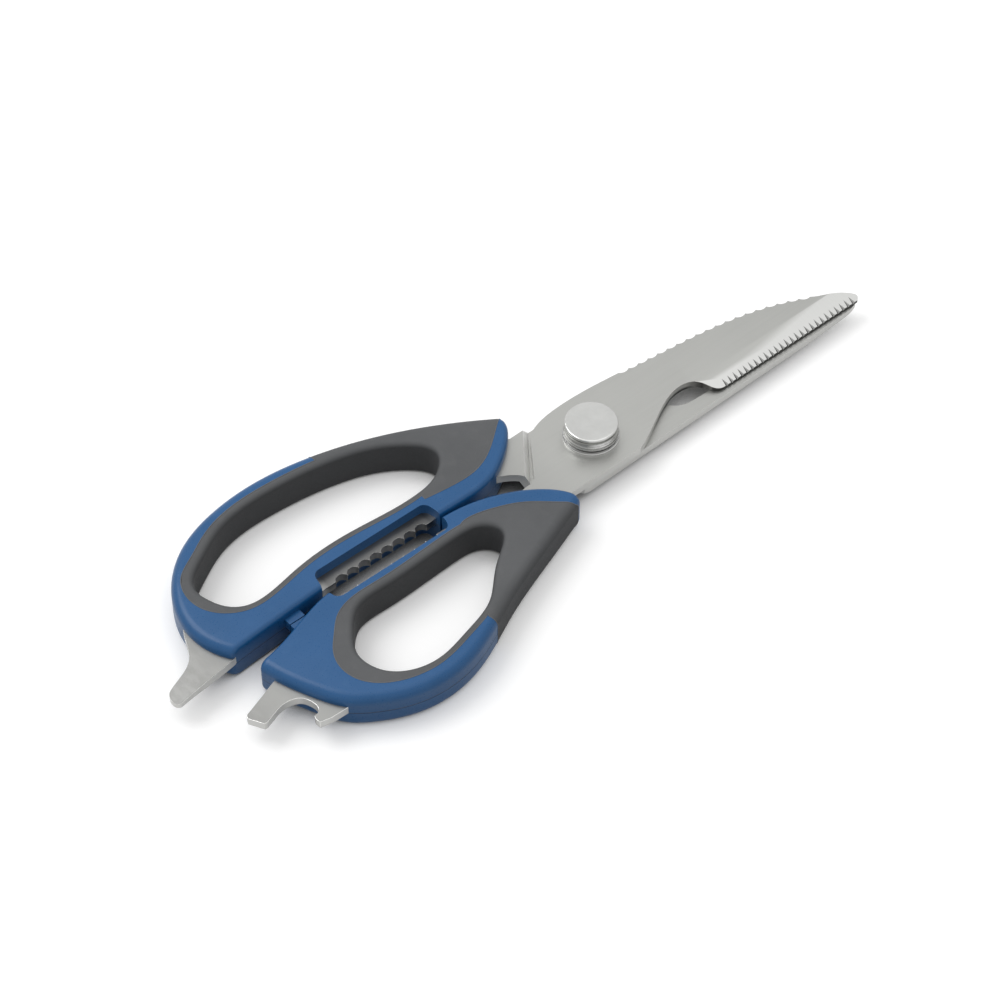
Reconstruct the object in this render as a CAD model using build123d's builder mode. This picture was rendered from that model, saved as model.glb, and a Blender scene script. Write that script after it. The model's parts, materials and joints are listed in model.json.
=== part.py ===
from build123d import *
from math import atan2, copysign, cos, hypot, radians, sin, sqrt, tan
import os

# Kitchen shears lying closed on their handles, blade tips towards +X
# Millimetres, with every outline measured from the pivot axis

# Reach of each end and breadth of each side, from the pivot axis
tip_reach = 95.7
finger_reach = 127.8
finger_breadth = 45.3
driver_length = 16.5
thumb_setback = 6.6
thumb_breadth = 41.5
scaler_breadth = 13.9
spine_breadth = 12.2

# Sheet steel, its two levels and the lower blade's joggle, which clears the turning upper blade
steel = 2.6
blade_gap = 0.1
handle_height = 12.0
neck_angle = 38.2
neck_gap = 0.3
joggle_run = 1.6

# Ground edge, fine serration and scaler
grind_width = 6.1
edge_land = 0.9
serration_pitch = 2.0
serration_count = 26
serration_length = 2.3
serration_half_width = 0.62
serration_depth = 0.58
scallop_count = 19
scallop_depth = 0.65

# Nutcracker jaws
tooth_pitch = 3.92
tooth_count = 8
tooth_radius = 2.0
tooth_depth = 1.45
first_tooth_share = 0.452
jaw_land = 3.6
finger_jaw = 4.1
thumb_jaw = -0.2
finger_recess_depth = 4.2
thumb_recess_depth = 2.6
recess_mouth = 6.0
recess_margin = 0.9
recess_flare = 1.8
recess_corner = 2.4

# Screwdriver tip
driver_edge = 1.5
driver_grind = 14.0

# Handle shells, grips, pegs and closing stops
outer_round = 3.0
inner_round = 1.6
loop_round = 1.8
grip_lip = 2.1
finger_tail_lip = 2.0
thumb_tail_lip = 4.6
grip_skin = 1.6
tail_lip_power = 4
curve_samples = 28
peg_radius = 1.6
peg_clearance = 0.15
peg_rise = 2.0
stop_share = 0.808
stop_length = 5.0
stop_height = 3.3
stop_root = 4.5
stop_line = 0.1
stop_gap = 0.3

# Pivot, from the foot under the blades to the cap
stud_radius = 4.0
running_clearance = 0.06
foot_radius = 6.4
foot_height = 1.3
foot_gap = 0.1
washer_radius = 8.1
washer_height = 0.75
spring_radius = 7.9
spring_sheet = 0.6
spring_rise = 0.45
collar_base_radius = 7.8
collar_top_radius = 7.35
collar_height = 2.1
cap_neck_radius = 6.8
cap_neck_height = 0.2
cap_radius = 7.5
cap_height = 1.6
cap_round = 0.45
cap_seat = 1.0
small_bevel = 0.15

# Lengths that follow from the finger handle's reach
driver_reach = finger_reach + driver_length
thumb_reach = finger_reach - thumb_setback
first_tooth = -finger_reach * first_tooth_share
stop_reach = finger_reach * stop_share

# One overrun for cuts and one far size for half spaces
overrun = 1.0
far = tip_reach + driver_reach

# Outlines as shares of a reach and a breadth, chosen by eye
crown_shares = (
    (-0.155, 0.612),
    (-0.128, 0.8),
    (-0.079, 0.935),
    (0.0, 1.0),
    (0.099, 0.993),
    (0.225, 0.914),
)
scaler_shares = ((0.225, 0.914), (0.514, 0.698), (0.747, 0.353), (0.876, -0.029))
nose_shares = ((0.876, -0.029), (0.94, -0.25), (0.986, -0.44), (1.0, -0.56), (0.989, -0.66))
notch_shares = (
    (0.44, -0.676),
    (0.41, -0.576),
    (0.392, -0.374),
    (0.362, -0.209),
    (0.315, -0.165),
    (0.263, -0.259),
    (0.204, -0.46),
    (0.12, -0.78),
    (0.079, -0.9),
)
upper_side_shares = ((0.079, -0.9), (-0.18, -0.9))
upper_neck_shares = ((-0.279, -0.223), (-0.26, -0.216), (-0.241, -0.173), (-0.226, -0.065))
lower_side_shares = ((-0.115, -1.0), (0.93, -0.82))
lower_nose_shares = ((0.93, -0.82), (0.975, -0.765), (0.99, -0.68), (0.984, -0.59))
lower_notch_shares = (
    (0.436, 0.197),
    (0.438, -0.3),
    (0.412, -0.541),
    (0.37, -0.574),
    (0.326, -0.557),
    (0.284, -0.434),
    (0.262, -0.164),
    (0.248, 0.22),
    (0.2, 0.62),
    (0.1, 0.92),
    (-0.088, 1.12),
)
lower_neck_shares = (
    (-0.297, 0.336),
    (-0.275, 0.221),
    (-0.254, 0.057),
    (-0.238, -0.148),
    (-0.2, -0.36),
    (-0.13, -0.967),
)

# Finger handle outlines, as shares of its reach and breadth
finger_outer_shares = (
    (0.971, 0.02),
    (1.0, 0.42),
    (0.96, 0.667),
    (0.876, 0.874),
    (0.767, 0.976),
    (0.665, 1.0),
    (0.516, 0.946),
    (0.352, 0.795),
    (0.134, 0.452),
)
finger_inner_shares = (
    (0.134, 0.452),
    (0.131, 0.38),
    (0.155, 0.275),
    (0.2, 0.17),
    (0.263, 0.079),
    (0.344, 0.057),
    (0.548, 0.073),
    (0.759, 0.06),
    (0.971, 0.02),
)
finger_loop_shares = (
    (0.926, 0.472),
    (0.87, 0.258),
    (0.743, 0.284),
    (0.577, 0.307),
    (0.407, 0.285),
    (0.336, 0.344),
    (0.304, 0.459),
    (0.345, 0.631),
    (0.462, 0.79),
    (0.626, 0.861),
    (0.782, 0.826),
    (0.878, 0.687),
)
finger_tang_shares = (
    (0.142, 0.296),
    (0.209, 0.37),
    (0.258, 0.39),
    (0.293, 0.3),
    (0.34, 0.246),
    (0.415, 0.217),
    (0.587, 0.232),
    (0.743, 0.213),
    (0.861, 0.165),
    (0.92, 0.195),
    (0.955, 0.3),
    (0.974, 0.4),
)
finger_rim_shares = ((0.968, 0.016), (0.92, 0.058), (0.822, 0.074))
finger_throat_shares = ((0.385, 0.098), (0.297, 0.112), (0.258, 0.12))
finger_cheek_shares = (
    (0.407, 0.205),
    (0.373, 0.192),
    (0.318, 0.177),
    (0.279, 0.181),
    (0.24, 0.214),
    (0.201, 0.28),
    (0.137, 0.42),
)
finger_seam_shares = ((0.09, 0.44), (0.09, 1.1), (0.52, 1.1), (0.52, 0.84), (0.47, 0.6), (0.407, 0.33))
finger_peg_shares = ((0.235, 0.27), (0.795, 0.137), (0.905, 0.12))

# Screwdriver tip, as shares of its own reach and the finger handle's breadth
driver_shares = (
    (0.884, 0.406),
    (0.897, 0.329),
    (0.922, 0.181),
    (0.941, 0.137),
    (0.965, 0.106),
    (0.991, 0.071),
)
driver_tip_shares = ((0.991, 0.071), (0.996, 0.052), (1.0, 0.014), (0.998, -0.024), (0.99, -0.04))
driver_base_shares = ((0.99, -0.04), (0.949, -0.02), (0.906, -0.004), (0.857, 0.016))

# Thumb handle outlines, as shares of its reach and breadth
thumb_outer_shares = (
    (1.0, -0.15),
    (0.985, -0.32),
    (0.951, -0.56),
    (0.915, -0.735),
    (0.868, -0.845),
    (0.785, -0.962),
    (0.701, -1.0),
    (0.62, -0.968),
    (0.455, -0.757),
    (0.28, -0.557),
    (0.152, -0.417),
)
thumb_inner_shares = (
    (0.152, -0.417),
    (0.162, -0.333),
    (0.203, -0.193),
    (0.29, -0.043),
    (0.375, 0.03),
    (0.421, 0.044),
    (0.619, 0.034),
    (0.79, 0.01),
    (0.91, -0.097),
    (1.0, -0.15),
)
thumb_loop_shares = (
    (0.815, -0.56),
    (0.777, -0.757),
    (0.699, -0.838),
    (0.601, -0.79),
    (0.503, -0.69),
    (0.418, -0.472),
    (0.356, -0.27),
    (0.372, -0.199),
    (0.446, -0.152),
    (0.653, -0.172),
    (0.735, -0.197),
    (0.784, -0.33),
)
thumb_tang_shares = (
    (0.248, -0.356),
    (0.314, -0.307),
    (0.338, -0.147),
    (0.388, -0.1),
    (0.776, -0.1),
    (0.82, -0.175),
    (0.872, -0.29),
    (0.89, -0.42),
    (0.892, -0.6),
    (0.91, -0.745),
)
thumb_rim_shares = ((0.988, -0.28), (0.955, -0.21), (0.891, -0.125), (0.83, -0.07))
thumb_throat_shares = ((0.404, -0.018), (0.338, -0.047), (0.272, -0.105))
thumb_cheek_shares = (
    (0.427, -0.123),
    (0.414, -0.093),
    (0.377, -0.088),
    (0.319, -0.138),
    (0.278, -0.192),
    (0.237, -0.278),
    (0.204, -0.364),
    (0.175, -0.43),
)
thumb_seam_shares = ((0.12, -0.45), (0.12, -1.1), (0.522, -1.1), (0.522, -0.88), (0.535, -0.8), (0.427, -0.3))
thumb_peg_shares = ((0.248, -0.245), (0.82, -0.122), (0.93, -0.45))

# Bottle opener, as shares of the thumb handle's reach and breadth
hook_shares = (
    (0.91, -0.745),
    (0.954, -0.742),
    (0.983, -0.723),
    (0.984, -0.684),
    (0.981, -0.66),
    (0.971, -0.658),
)
mouth_shares = (
    (0.971, -0.658),
    (0.962, -0.628),
    (0.964, -0.549),
    (0.974, -0.499),
    (0.991, -0.472),
    (1.009, -0.465),
    (1.033, -0.477),
    (1.069, -0.513),
)
arm_shares = ((1.069, -0.513), (1.076, -0.511), (1.095, -0.412), (1.092, -0.386), (0.988, -0.28))

# The frame's origin is under the middle of the whole tool
pivot_x = (driver_reach - tip_reach) / 2
pivot_y = (thumb_breadth - finger_breadth) / 2

# Heights of the two blade levels; both tangs and the shells' split lie at the upper one
blade_meeting = handle_height / 2
upper_floor = blade_meeting + blade_gap / 2
lower_floor = blade_meeting - blade_gap / 2 - steel
pivot_seat = upper_floor + steel
tooth_half_chord = sqrt(tooth_radius**2 - (tooth_radius - tooth_depth) ** 2)
curve_shares = [index / curve_samples for index in range(curve_samples + 1)]
standing = (Align.CENTER, Align.CENTER, Align.MIN)


def places(shares, reach, breadth):
    """Points from shares of a reach and a breadth."""
    return [(along * reach, across * breadth) for along, across in shares]


def level(height):
    """Flat plane at a height, centred on the pivot axis."""
    return Plane(origin=(pivot_x, pivot_y, height))


def side_plane(height):
    """Upright plane through the pivot axis, its X towards the blade tips and its origin at a height."""
    return Plane(origin=(pivot_x, pivot_y, height), x_dir=(1, 0, 0), z_dir=(0, -1, 0))


def spots(points, height):
    """Places on one level for a set of points."""
    return [level(height).location * Location((along, across, 0)) for along, across in points]


def edge_plane(start, end):
    """Flat plane from the start of a cutting edge, its X along the edge and its Y into the blade."""
    along = (end[0] - start[0], end[1] - start[1], 0)
    return Plane(origin=(pivot_x + start[0], pivot_y + start[1], 0), x_dir=along, z_dir=(0, 0, 1))


def across_edge(edge):
    """Upright plane square to a cutting edge, before its start, its X into the blade and its Y up."""
    return Plane(origin=edge.origin - edge.x_dir * grind_width, x_dir=edge.y_dir, z_dir=edge.x_dir)


def jaw_arcs(jaw, rise):
    """Ends and middle of each round tooth gap, from the tail towards the pivot."""
    centres = [first_tooth - tooth_pitch * index for index in reversed(range(tooth_count))]
    return [
        ((centre - tooth_half_chord, jaw), (centre, jaw + rise), (centre + tooth_half_chord, jaw))
        for centre in centres
    ]


def jaw_recess(jaw, depth):
    """Corners of the recess over a jaw, flared towards the gap between the handles."""
    front = jaw_front + recess_margin
    back = jaw_back - recess_margin
    mouth_line = jaw - copysign(recess_mouth, depth)
    return [
        (back - recess_flare, mouth_line),
        (back, jaw + depth),
        (front, jaw + depth),
        (front + recess_flare, mouth_line),
    ]


def rim_edges(form):
    """Level edges of a handle's two faces, from the inner side outwards."""
    level_edges = [edge for edge in form.edges() if edge.bounding_box().size.Z < small_bevel]
    return ShapeList(level_edges).sort_by(lambda edge: abs(edge.center().Y - pivot_y))


def handle_form(outer, inner, loop):
    """Whole handle with its finger opening, every edge rounded."""
    with BuildPart() as form:
        with BuildSketch(level(0)):
            with BuildLine():
                Spline(*outer)
                Spline(*inner)
            make_face()
        extrude(amount=handle_height)
        fillet(rim_edges(form)[2:], outer_round)
        fillet(rim_edges(form)[:2], inner_round)
        with BuildSketch(level(0)):
            with BuildLine():
                Spline(*loop, periodic=True)
            make_face()
        extrude(amount=handle_height, mode=Mode.SUBTRACT)
        fillet([edge for edge in rim_edges(form) if edge.is_closed], loop_round)
    return form.part


def right_of(curve, share):
    """Direction square to a curve, to its right."""
    return (curve % share).cross(Vector(0, 0, 1))


def handle_core(outer, skin):
    """Body that the soft cheek covers, a skin's thickness to the right of the outer wall."""
    wall = Spline(*outer)
    inset = [wall @ share + right_of(wall, share) * skin for share in curve_shares]
    across = -copysign(far, outer[1][1])
    with BuildPart() as core:
        with BuildSketch(level(grip_skin)):
            with BuildLine():
                Spline(*inset)
                Polyline(inset[-1], (inset[-1].X, across), (inset[0].X, across), inset[0])
            make_face()
        extrude(amount=handle_height - grip_skin * 2)
    return core.part


def soft_region(loop, tail_lip, cheek, seam, core):
    """Upright space that the soft grip fills: cheek skin over the core, and the loop's liner."""
    opening = Spline(*loop, periodic=True)
    liner = []
    for share in curve_shares[:-1]:
        outward = right_of(opening, share)
        lip = grip_lip + tail_lip * ((1 - outward.X) / 2) ** tail_lip_power
        liner.append(opening @ share + outward * lip)
    with BuildPart() as region:
        with BuildSketch(level(0)):
            with BuildLine():
                Spline(*cheek)
                Polyline(cheek[-1], *seam, cheek[0])
            make_face()
        extrude(amount=handle_height)
        add(core, mode=Mode.SUBTRACT)
        with BuildSketch(level(0)):
            with BuildLine():
                Spline(*liner, periodic=True)
            make_face()
        extrude(amount=handle_height)
    return region.part


# Corner points that two stretches of an outline share
crown = places(crown_shares, tip_reach, scaler_breadth)
nose = places(nose_shares, tip_reach, scaler_breadth)
notch = places(notch_shares, tip_reach, scaler_breadth)
upper_neck = places(upper_neck_shares, tip_reach, scaler_breadth)
upper_side = places(upper_side_shares, tip_reach, scaler_breadth)
lower_nose = places(lower_nose_shares, tip_reach, spine_breadth)
lower_notch = places(lower_notch_shares, tip_reach, spine_breadth)
lower_neck = places(lower_neck_shares, tip_reach, spine_breadth)
lower_side = places(lower_side_shares, tip_reach, spine_breadth)
finger_outer = places(finger_outer_shares, -finger_reach, finger_breadth)
finger_inner = places(finger_inner_shares, -finger_reach, finger_breadth)
finger_loop = places(finger_loop_shares, -finger_reach, finger_breadth)
finger_tang = places(finger_tang_shares, -finger_reach, finger_breadth)
finger_rim = places(finger_rim_shares, -finger_reach, finger_breadth)
finger_throat = places(finger_throat_shares, -finger_reach, finger_breadth)
finger_cheek = places(finger_cheek_shares, -finger_reach, finger_breadth)
finger_seam = places(finger_seam_shares, -finger_reach, finger_breadth)
finger_pegs = places(finger_peg_shares, -finger_reach, finger_breadth)
driver_side = places(driver_shares, -driver_reach, finger_breadth)
driver_tip = places(driver_tip_shares, -driver_reach, finger_breadth)
driver_base = places(driver_base_shares, -driver_reach, finger_breadth)
thumb_outer = places(thumb_outer_shares, -thumb_reach, thumb_breadth)
thumb_inner = places(thumb_inner_shares, -thumb_reach, thumb_breadth)
thumb_loop = places(thumb_loop_shares, -thumb_reach, thumb_breadth)
thumb_tang = places(thumb_tang_shares, -thumb_reach, thumb_breadth)
thumb_rim = places(thumb_rim_shares, -thumb_reach, thumb_breadth)
thumb_throat = places(thumb_throat_shares, -thumb_reach, thumb_breadth)
thumb_cheek = places(thumb_cheek_shares, -thumb_reach, thumb_breadth)
thumb_seam = places(thumb_seam_shares, -thumb_reach, thumb_breadth)
thumb_pegs = places(thumb_peg_shares, -thumb_reach, thumb_breadth)
hook = places(hook_shares, -thumb_reach, thumb_breadth)
mouth = places(mouth_shares, -thumb_reach, thumb_breadth)
arm = places(arm_shares, -thumb_reach, thumb_breadth)
jaw_front = first_tooth + tooth_half_chord + jaw_land / 2
jaw_back = first_tooth - tooth_pitch * (tooth_count - 1) - tooth_half_chord - jaw_land

# One filed groove of the fine serration, its edge point at the origin and the blade towards +Y
grind_slope = (steel - edge_land) / grind_width
groove_rise = atan2(grind_slope * serration_length + serration_depth, serration_length)
groove_width = serration_half_width * steel / serration_depth
groove_heading = (0, cos(groove_rise), sin(groove_rise))
groove_start = (0, -overrun * cos(groove_rise), -serration_depth - overrun * sin(groove_rise))
with BuildPart() as groove:
    with BuildSketch(Plane(origin=groove_start, x_dir=(1, 0, 0), z_dir=groove_heading)):
        with BuildLine():
            Polyline((0, 0), (groove_width, -steel), (-groove_width, -steel), close=True)
        make_face()
    extrude(amount=serration_length + overrun * 3)

# Upper blade: scaler back, bone notch, serrated edge, thumb tang and bottle opener
scaler_curve = Spline(*places(scaler_shares, tip_reach, scaler_breadth))
scaler_points = [scaler_curve @ (index / scallop_count) for index in range(scallop_count + 1)]
upper_edge = edge_plane(notch[0], nose[-1])
upper_edge_length = hypot(nose[-1][0] - notch[0][0], nose[-1][1] - notch[0][1])
serration_places = [
    upper_edge.location * Location((serration_pitch * (index + 1 / 2), 0, upper_floor + edge_land))
    for index in range(serration_count)
]
thumb_teeth = jaw_arcs(thumb_jaw, -tooth_depth)
with BuildPart() as upper_blade:
    with BuildSketch(level(upper_floor)):
        with BuildLine():
            Spline(*crown[:-1], scaler_points[0])
            for start, end in zip(scaler_points, scaler_points[1:]):
                SagittaArc(start, end, -scallop_depth)
            Spline(scaler_points[-1], *nose[1:])
            Line(nose[-1], notch[0])
            Spline(*notch)
            Line(notch[-1], upper_side[-1])
            Spline(upper_side[-1], *thumb_tang[:4])
            Line(thumb_tang[3], thumb_tang[4])
            Spline(*thumb_tang[4:])
            Polyline(*hook)
            Spline(*mouth)
            Polyline(*arm)
            Spline(*thumb_rim, (jaw_back, thumb_jaw))
            Line((jaw_back, thumb_jaw), thumb_teeth[0][0])
            for arc in thumb_teeth:
                ThreePointArc(*arc)
            for arc, following in zip(thumb_teeth, thumb_teeth[1:]):
                Line(arc[2], following[0])
            Line(thumb_teeth[-1][2], (jaw_front, thumb_jaw))
            Spline((jaw_front, thumb_jaw), *thumb_throat, *upper_neck)
            Line(upper_neck[-1], crown[0])
        make_face()
    extrude(amount=steel)
    with BuildSketch(across_edge(upper_edge)):
        with BuildLine():
            low = upper_floor + edge_land - grind_slope * overrun
            high = pivot_seat + grind_slope * overrun
            Polyline((-overrun, low), (grind_width + overrun, high), (-overrun, high), close=True)
        make_face()
    extrude(amount=upper_edge_length + grind_width * 2, mode=Mode.SUBTRACT)
    with Locations(*serration_places):
        add(groove.part, mode=Mode.SUBTRACT)
    with Locations(level(0).location):
        Cylinder(stud_radius, handle_height, align=standing, mode=Mode.SUBTRACT)
    with Locations(*spots(thumb_pegs, 0)):
        Cylinder(peg_radius + peg_clearance, handle_height, align=standing, mode=Mode.SUBTRACT)

# Lower blade: plain cutting edge, bone notch, finger tang and screwdriver
lower_edge = edge_plane(lower_nose[-1], lower_notch[0])
lower_edge_length = hypot(lower_notch[0][0] - lower_nose[-1][0], lower_notch[0][1] - lower_nose[-1][1])
finger_teeth = jaw_arcs(finger_jaw, tooth_depth)
neck_heading = radians(180 - neck_angle)
neck_plane = Plane(
    origin=(pivot_x, pivot_y, 0),
    x_dir=(cos(neck_heading), sin(neck_heading), 0),
    z_dir=(sin(neck_heading), -cos(neck_heading), 0),
)
joggle_start = hypot(*crown[0]) + neck_gap
joggle_end = joggle_start + joggle_run
bend_shift = steel * tan(atan2(upper_floor - lower_floor, joggle_run) / 2)
with BuildPart() as lower_blade:
    with BuildSketch(level(0)):
        with BuildLine():
            Line(*lower_side)
            Spline(*lower_nose)
            Line(lower_nose[-1], lower_notch[0])
            Spline(*lower_notch)
            Line(lower_notch[-1], finger_tang[0])
            Spline(*finger_tang)
            Line(finger_tang[-1], driver_side[0])
            Spline(*driver_side)
            Spline(*driver_tip)
            Spline(*driver_base)
            Spline(driver_base[-1], *finger_rim[1:], (jaw_back, finger_jaw))
            Line((jaw_back, finger_jaw), finger_teeth[0][0])
            for arc in finger_teeth:
                ThreePointArc(*arc)
            for arc, following in zip(finger_teeth, finger_teeth[1:]):
                Line(arc[2], following[0])
            Line(finger_teeth[-1][2], (jaw_front, finger_jaw))
            Spline((jaw_front, finger_jaw), *finger_throat, *lower_neck[:5])
            Polyline(lower_neck[4], lower_neck[5], lower_side[0])
        make_face()
    extrude(amount=handle_height)
    with BuildSketch(neck_plane):
        with BuildLine():
            Polyline(
                (-far, lower_floor),
                (joggle_start + bend_shift, lower_floor),
                (joggle_end + bend_shift, upper_floor),
                (far, upper_floor),
                (far, pivot_seat),
                (joggle_end, pivot_seat),
                (joggle_start, lower_floor + steel),
                (-far, lower_floor + steel),
                close=True,
            )
        make_face()
    extrude(amount=far, both=True, mode=Mode.INTERSECT)
    with BuildSketch(across_edge(lower_edge)):
        with BuildLine():
            low = lower_floor - grind_slope * overrun
            high = lower_floor + steel - edge_land + grind_slope * overrun
            Polyline((-overrun, high), (grind_width + overrun, low), (-overrun, low), close=True)
        make_face()
    extrude(amount=lower_edge_length + grind_width * 2, mode=Mode.SUBTRACT)
    with BuildSketch(side_plane(upper_floor + steel / 2)):
        with BuildLine():
            taper = (steel - driver_edge) / 2 / driver_grind
            tip_line = driver_edge / 2 - taper * overrun
            grind_end = driver_grind - driver_reach
            Polyline(
                (-driver_reach - overrun, tip_line),
                (grind_end, steel / 2),
                (grind_end, steel),
                (-driver_reach - overrun, steel),
                close=True,
            )
        make_face()
        mirror(about=Plane.XZ)
    extrude(amount=finger_breadth, both=True, mode=Mode.SUBTRACT)
    with Locations(level(0).location):
        Cylinder(stud_radius + running_clearance, handle_height, align=standing, mode=Mode.SUBTRACT)
    with Locations(*spots(finger_pegs, 0)):
        Cylinder(peg_radius + peg_clearance, handle_height, align=standing, mode=Mode.SUBTRACT)

# Soft grips, each the loop's liner and a cheek moulded over the front of its handle
finger_form = handle_form(finger_outer, finger_inner, finger_loop)
finger_core = handle_core(finger_outer, grip_skin)
with BuildPart() as finger_grip:
    add(soft_region(finger_loop, finger_tail_lip, finger_cheek, finger_seam, finger_core))
    add(finger_form, mode=Mode.INTERSECT)
    add(lower_blade.part, mode=Mode.SUBTRACT)
thumb_form = handle_form(thumb_outer, thumb_inner, thumb_loop)
thumb_core = handle_core(thumb_outer, -grip_skin)
with BuildPart() as thumb_grip:
    add(soft_region(thumb_loop, thumb_tail_lip, thumb_cheek, thumb_seam, thumb_core))
    add(thumb_form, mode=Mode.INTERSECT)
    add(upper_blade.part, mode=Mode.SUBTRACT)

# Hard shells, split at the tang's underside, with a recess over each nutcracker jaw
with BuildPart() as finger_recess_space:
    with BuildSketch(level(0)):
        with BuildLine():
            Polyline(*jaw_recess(finger_jaw, finger_recess_depth), close=True)
        make_face()
        fillet(vertices(), recess_corner)
    extrude(amount=handle_height)
with BuildPart() as thumb_recess_space:
    with BuildSketch(level(0)):
        with BuildLine():
            Polyline(*jaw_recess(thumb_jaw, -thumb_recess_depth), close=True)
        make_face()
        fillet(vertices(), recess_corner)
    extrude(amount=handle_height)

with BuildPart() as finger_top_shell:
    add(finger_form)
    split(bisect_by=level(upper_floor), keep=Keep.TOP)
    add(finger_recess_space.part, mode=Mode.SUBTRACT)
    with BuildSketch(level(upper_floor)):
        with BuildLine():
            Polyline(
                (-stop_reach - stop_length / 2, stop_line),
                (-stop_reach + stop_length / 2, stop_line),
                (-stop_reach + stop_length / 2, stop_root),
                (-stop_reach - stop_length / 2, stop_root),
                close=True,
            )
        make_face()
    extrude(amount=stop_height)
    add(finger_grip.part, mode=Mode.SUBTRACT)
    add(lower_blade.part, mode=Mode.SUBTRACT)
    with Locations(*spots(finger_pegs, upper_floor)):
        Cylinder(
            peg_radius + peg_clearance,
            steel + peg_rise + peg_clearance,
            align=standing,
            mode=Mode.SUBTRACT,
        )
with BuildPart() as finger_bottom_shell:
    add(finger_form)
    split(bisect_by=level(upper_floor), keep=Keep.BOTTOM)
    add(finger_recess_space.part, mode=Mode.SUBTRACT)
    add(finger_grip.part, mode=Mode.SUBTRACT)
    with Locations(*spots(finger_pegs, upper_floor)):
        Cylinder(peg_radius, steel + peg_rise, align=standing)

with BuildPart() as thumb_top_shell:
    add(thumb_form)
    split(bisect_by=level(upper_floor), keep=Keep.TOP)
    add(thumb_recess_space.part, mode=Mode.SUBTRACT)
    with BuildSketch(level(upper_floor)):
        with BuildLine():
            Polyline(
                (-stop_reach - stop_length / 2, stop_line - stop_gap),
                (-stop_reach + stop_length / 2, stop_line - stop_gap),
                (-stop_reach + stop_length / 2, -stop_root),
                (-stop_reach - stop_length / 2, -stop_root),
                close=True,
            )
        make_face()
    extrude(amount=stop_height)
    add(thumb_grip.part, mode=Mode.SUBTRACT)
    add(upper_blade.part, mode=Mode.SUBTRACT)
    with Locations(*spots(thumb_pegs, upper_floor)):
        Cylinder(
            peg_radius + peg_clearance,
            steel + peg_rise + peg_clearance,
            align=standing,
            mode=Mode.SUBTRACT,
        )
with BuildPart() as thumb_bottom_shell:
    add(thumb_form)
    split(bisect_by=level(upper_floor), keep=Keep.BOTTOM)
    add(thumb_recess_space.part, mode=Mode.SUBTRACT)
    add(thumb_grip.part, mode=Mode.SUBTRACT)
    with Locations(*spots(thumb_pegs, upper_floor)):
        Cylinder(peg_radius, steel + peg_rise, align=standing)

# Pivot from below: foot and stud, washer, sprung disc, collar and cap
washer_top = pivot_seat + washer_height
spring_top = washer_top + spring_rise + spring_sheet
collar_top = spring_top + collar_height
cap_floor = collar_top + cap_neck_height
stud_bottom = lower_floor - foot_gap - foot_height
bore = stud_radius + running_clearance
with BuildPart() as pivot_stud:
    with BuildSketch(side_plane(0)):
        with BuildLine():
            Polyline(
                (0, stud_bottom),
                (foot_radius, stud_bottom),
                (foot_radius, stud_bottom + foot_height),
                (stud_radius, stud_bottom + foot_height),
                (stud_radius, collar_top + cap_seat),
                (0, collar_top + cap_seat),
                close=True,
            )
        make_face()
    revolve(axis=Axis((pivot_x, pivot_y, 0), (0, 0, 1)))
with BuildPart() as base_washer:
    with BuildSketch(level(pivot_seat)):
        Circle(washer_radius)
        Circle(bore, mode=Mode.SUBTRACT)
    extrude(amount=washer_height)
    chamfer(base_washer.edges().group_by(Axis.Z)[-1].sort_by(SortBy.LENGTH)[-1], small_bevel)
with BuildPart() as disc_spring:
    with BuildSketch(side_plane(washer_top)):
        with BuildLine():
            Polyline(
                (bore, spring_rise),
                (spring_radius, 0),
                (spring_radius, spring_sheet),
                (bore, spring_rise + spring_sheet),
                close=True,
            )
        make_face()
    revolve(axis=Axis((pivot_x, pivot_y, 0), (0, 0, 1)))
with BuildPart() as knob_collar:
    with BuildSketch(side_plane(spring_top)):
        with BuildLine():
            Polyline(
                (bore, 0),
                (collar_base_radius, 0),
                (collar_top_radius, collar_height),
                (bore, collar_height),
                close=True,
            )
        make_face()
    revolve(axis=Axis((pivot_x, pivot_y, 0), (0, 0, 1)))
with BuildPart() as knob_cap:
    with BuildSketch(level(collar_top)):
        Circle(cap_neck_radius)
    extrude(amount=cap_neck_height)
    with BuildSketch(level(cap_floor)):
        Circle(cap_radius)
    extrude(amount=cap_height)
    fillet(knob_cap.edges().group_by(Axis.Z)[-1], cap_round)
    with BuildSketch(level(collar_top)):
        Circle(bore)
    extrude(amount=cap_seat, mode=Mode.SUBTRACT)

os.makedirs("parts", exist_ok=True)
upper_blade.part.label = "upper_blade"
lower_blade.part.label = "lower_blade"
finger_top_shell.part.label = "finger_top_shell"
finger_bottom_shell.part.label = "finger_bottom_shell"
finger_grip.part.label = "finger_grip"
thumb_top_shell.part.label = "thumb_top_shell"
thumb_bottom_shell.part.label = "thumb_bottom_shell"
thumb_grip.part.label = "thumb_grip"
pivot_stud.part.label = "pivot_stud"
base_washer.part.label = "base_washer"
disc_spring.part.label = "disc_spring"
knob_collar.part.label = "knob_collar"
knob_cap.part.label = "knob_cap"
export_step(upper_blade.part, "parts/upper_blade.step")
export_step(lower_blade.part, "parts/lower_blade.step")
export_step(finger_top_shell.part, "parts/finger_top_shell.step")
export_step(finger_bottom_shell.part, "parts/finger_bottom_shell.step")
export_step(finger_grip.part, "parts/finger_grip.step")
export_step(thumb_top_shell.part, "parts/thumb_top_shell.step")
export_step(thumb_bottom_shell.part, "parts/thumb_bottom_shell.step")
export_step(thumb_grip.part, "parts/thumb_grip.step")
export_step(pivot_stud.part, "parts/pivot_stud.step")
export_step(base_washer.part, "parts/base_washer.step")
export_step(disc_spring.part, "parts/disc_spring.step")
export_step(knob_collar.part, "parts/knob_collar.step")
export_step(knob_cap.part, "parts/knob_cap.step")
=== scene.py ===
import json
from math import radians

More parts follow.
